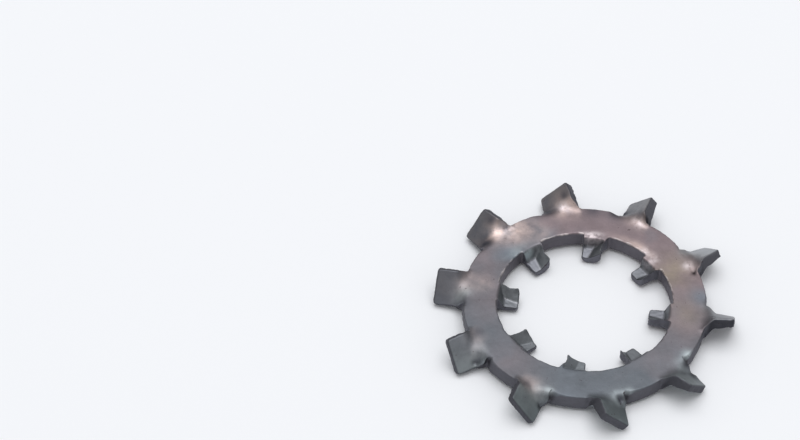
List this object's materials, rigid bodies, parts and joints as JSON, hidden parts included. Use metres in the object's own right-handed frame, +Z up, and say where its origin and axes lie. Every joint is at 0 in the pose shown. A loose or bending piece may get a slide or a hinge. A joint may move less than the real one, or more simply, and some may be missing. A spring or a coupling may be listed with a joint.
{
  "type": "internal-external tooth lock washer",
  "caption": "Flat steel lock washer with twisted teeth around its outer edge and shorter pressed teeth inside its hole, for locking a screw or nut.",
  "frame": {"origin": "on the axis of the hole, at the level that the lowest tooth edges stand on", "axes": "+Z up along the axis of the hole, the ring lies flat, and one gap between outer teeth faces +X"},
  "size_m": [0.0314, 0.0312, 0.0033],
  "materials": {
    "tempered_steel": "dark satin tempered oxide, with sheared edges left darker and rougher"
  },
  "bodies": {
    "root": {"tooth_lock_washer": "tempered_steel"}
  },
  "joints": []
}
